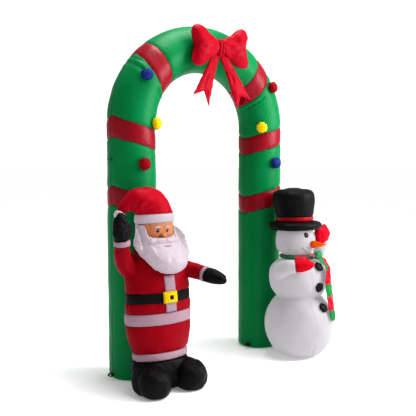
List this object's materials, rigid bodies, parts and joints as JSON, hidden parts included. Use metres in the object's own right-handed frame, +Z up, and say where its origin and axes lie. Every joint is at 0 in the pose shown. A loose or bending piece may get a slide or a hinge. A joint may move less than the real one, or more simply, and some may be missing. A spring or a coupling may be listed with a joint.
{
  "type": "inflatable arch",
  "caption": "Inflatable walk-through Christmas arch in green and red banded fabric, with a large red bow, padded balls, a waving Santa and a snowman in a top hat.",
  "frame": {"origin": "middle of the whole object's footprint, on the ground", "axes": "+Z up; the arch spans along X and faces -Y; +X is the snowman's side, -X is Santa's side"},
  "size_m": [1.888, 0.8607, 2.4],
  "materials": {
    "tube_green": "satin",
    "band_red": "satin",
    "bow_red": "satin",
    "coat_red": "satin",
    "white": "satin",
    "black": "matt",
    "yellow": "satin",
    "blue": "satin",
    "skin": "satin",
    "orange": "satin",
    "scarf": "matt"
  },
  "bodies": {
    "root": {"tube_green_1": "tube_green", "tube_green_2": "tube_green", "tube_green_3": "tube_green", "tube_green_4": "tube_green", "tube_green_5": "tube_green", "tube_green_6": "tube_green", "tube_green_7": "tube_green", "tube_red_1": "band_red", "tube_red_2": "band_red", "tube_red_3": "band_red", "tube_red_4": "band_red", "tube_red_5": "band_red", "tube_red_6": "band_red", "ball_left_1": "coat_red", "ball_left_2": "yellow", "ball_left_3": "blue", "ball_right_1": "blue", "ball_right_2": "yellow", "ball_right_3": "coat_red", "stake_loop_left": "black", "stake_loop_right": "black", "tether_loop": "tube_green", "bow_loop_left": "bow_red", "bow_loop_right": "bow_red", "bow_tail_left": "bow_red", "bow_tail_right": "bow_red", "bow_knot": "bow_red", "santa_boots": "black", "santa_leg_cuff": "white", "santa_trousers": "coat_red", "santa_hem_band": "white", "santa_skirt": "coat_red", "santa_belt": "black", "santa_chest": "coat_red", "santa_placket": "white", "santa_buckle": "yellow", "santa_sleeve_left": "coat_red", "santa_sleeve_right": "coat_red", "santa_cuff_left": "white", "santa_cuff_right": "white", "santa_mitten_left": "black", "santa_mitten_right": "black", "santa_head": "skin", "santa_beard": "white", "santa_hat_band": "white", "santa_hat": "coat_red", "santa_hat_tip": "white", "snow_body": "white", "snow_head": "white", "snow_nose": "orange", "snow_mitten_left": "coat_red", "snow_mitten_right": "coat_red", "snow_scarf_neck": "scarf", "snow_scarf_tail": "scarf", "snow_button_1": "black", "snow_button_2": "black", "snow_button_3": "black", "snow_hat_brim": "black", "snow_hat_ribbon": "coat_red", "snow_hat_crown": "black"}
  },
  "joints": []
}
